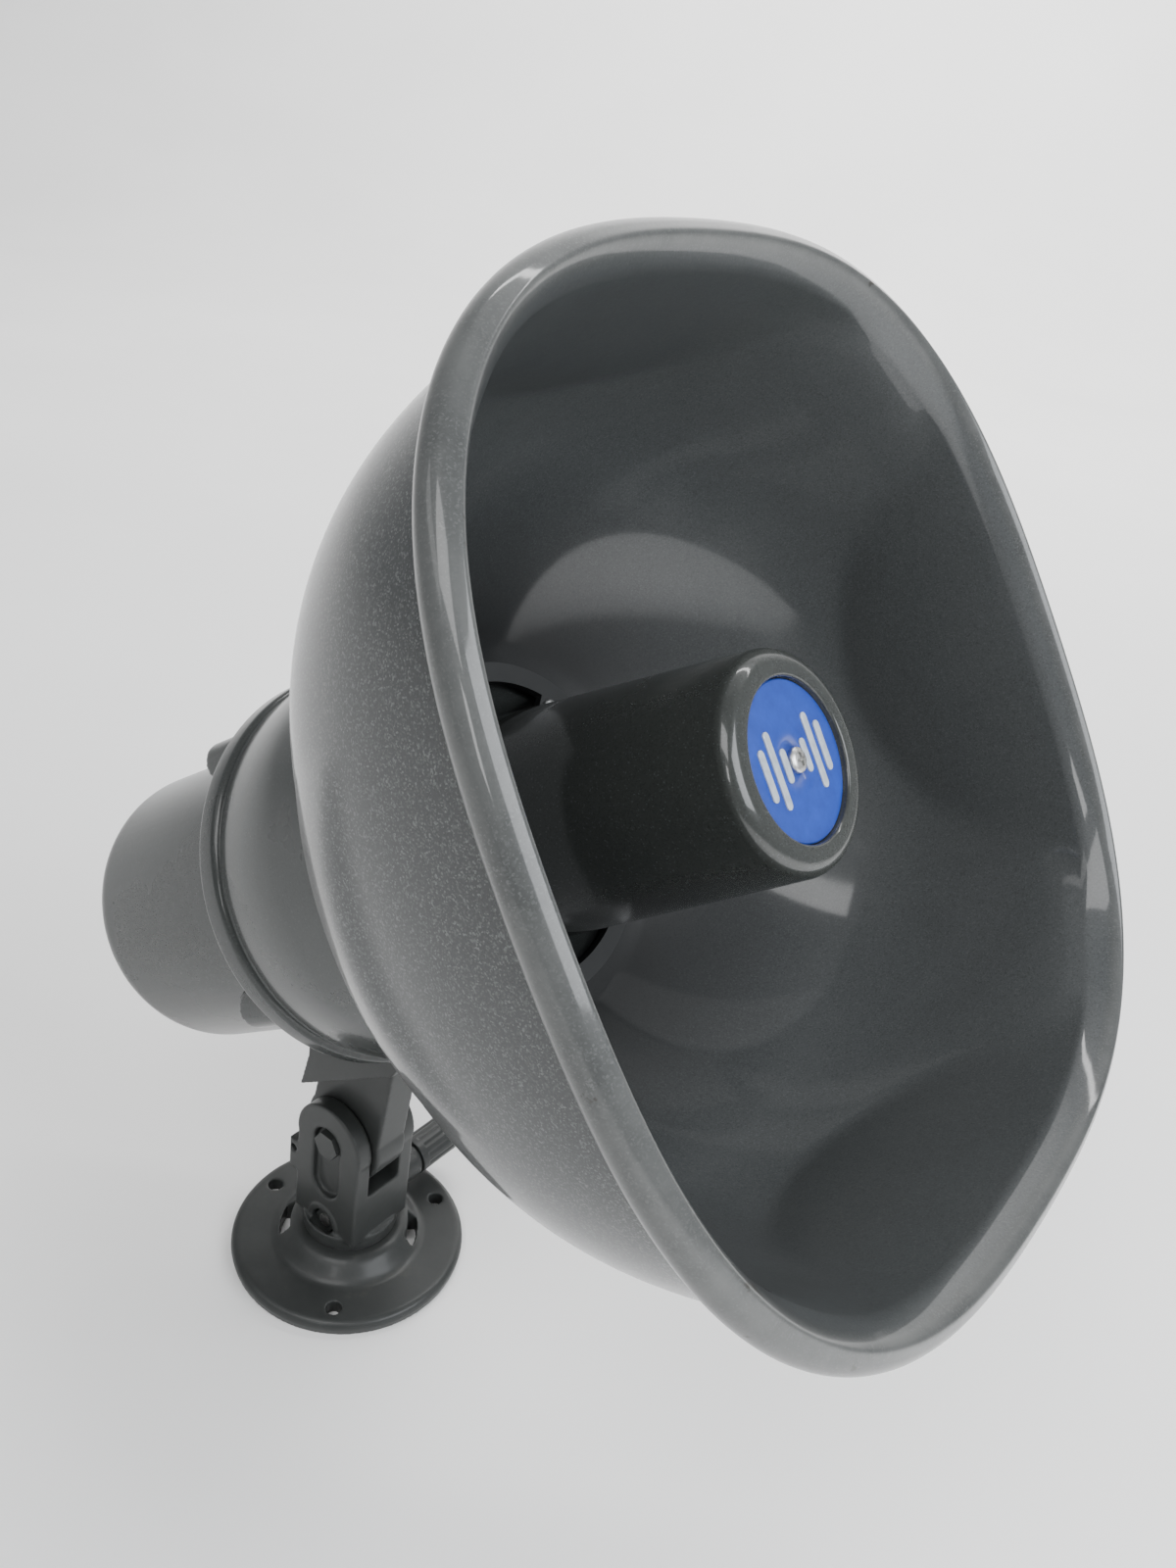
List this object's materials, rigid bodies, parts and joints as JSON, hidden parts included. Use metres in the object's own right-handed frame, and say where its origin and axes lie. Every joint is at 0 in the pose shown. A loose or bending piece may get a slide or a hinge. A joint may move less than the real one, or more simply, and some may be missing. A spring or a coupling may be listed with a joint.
{
  "type": "horn loudspeaker",
  "caption": "Re-entrant horn loudspeaker: a squared-off round bell with a central reflector cup, on a panning and tilting flanged mount.",
  "frame": {"origin": "centre of the mounting flange's underside, in the plane of its bolt circle", "axes": "+Z out of the mounting plane, along the pan axis; +X the way the horn faces; +Y along the tilt pivot"},
  "size_m": [0.3054, 0.225, 0.3534],
  "materials": {
    "bell_paint": "glossy speckled grey",
    "cup_paint": "glossy speckled grey",
    "housing_paint": "satin grey",
    "mount_casting": "semi-gloss dark grey",
    "knob_plastic": "semi-gloss dark grey",
    "cast_aluminium": "satin",
    "plated_steel": "zinc plated",
    "brass": "satin",
    "nylon": "satin",
    "rubber": "matt",
    "badge_blue": "gloss",
    "emblem_grey": "satin",
    "black_plastic": "satin",
    "phenolic": "satin",
    "copper": "enamelled winding",
    "ferrite": "matt",
    "core_steel": "laminated",
    "lead_sleeve": "satin"
  },
  "bodies": {
    "base": {"base_flange": "mount_casting"},
    "swivel": {"swivel_block": "mount_casting", "pan_friction_washer": "nylon", "pan_retaining_washer": "plated_steel", "pan_screw": "plated_steel", "pivot_bolt": "plated_steel", "pivot_washer": "plated_steel", "pivot_nut": "plated_steel", "tilt_friction_washers": "nylon", "clamp_washer": "plated_steel", "clamp_nut": "plated_steel"},
    "clamp": {"clamp_knob": "knob_plastic", "clamp_stud": "plated_steel"},
    "horn": {"tilt_bracket": "mount_casting", "bracket_screws": "plated_steel", "rear_housing": "housing_paint", "housing_gasket": "rubber", "housing_screws": "plated_steel", "throat_housing": "housing_paint", "bell_gasket": "rubber", "bell": "bell_paint", "bell_clamp_ring": "cast_aluminium", "bell_screws": "plated_steel", "reflector_cup": "cup_paint", "tone_arm": "cast_aluminium", "cup_spider": "cast_aluminium", "badge_disc": "badge_blue", "badge_emblem": "emblem_grey", "cup_screw": "plated_steel", "throat_plate": "cast_aluminium", "phase_plug": "black_plastic", "diaphragm": "phenolic", "voice_coil": "copper", "magnet_top_plate": "plated_steel", "magnet_ring": "ferrite", "pole_piece": "plated_steel", "driver_screws": "plated_steel", "driver_leads": "lead_sleeve", "transformer_core": "core_steel", "transformer_coil": "copper", "transformer_bracket": "plated_steel", "transformer_screws": "plated_steel", "terminal_block": "nylon", "terminal_screws": "brass", "tap_switch": "black_plastic", "tap_switch_nut": "plated_steel", "gland_body": "black_plastic", "gland_cap": "black_plastic", "gland_seal": "rubber", "gland_locknut": "black_plastic"},
    "tap_selector": {"tap_selector": "black_plastic"}
  },
  "joints": [
    {"name": "pan", "type": "hinge", "parent": "base", "child": "swivel", "pos_m": [0, 0, 0.0084], "axis": [0, 0, 1], "continuous": true},
    {"name": "tilt", "type": "hinge", "parent": "swivel", "child": "horn", "pos_m": [0, 0, 0.055], "axis": [0, -1, 0], "range_deg": [-40, 35]},
    {"name": "clamp_turn", "type": "hinge", "parent": "swivel", "child": "clamp", "pos_m": [0, 0.04, 0.019], "axis": [0, 1, 0], "range_deg": [0, 270]},
    {"name": "tap_turn", "type": "hinge", "parent": "horn", "child": "tap_selector", "pos_m": [-0.09111, 0, 0.12482], "axis": [-0.8116, 0, -0.5842], "range_deg": [-135, 135]}
  ]
}
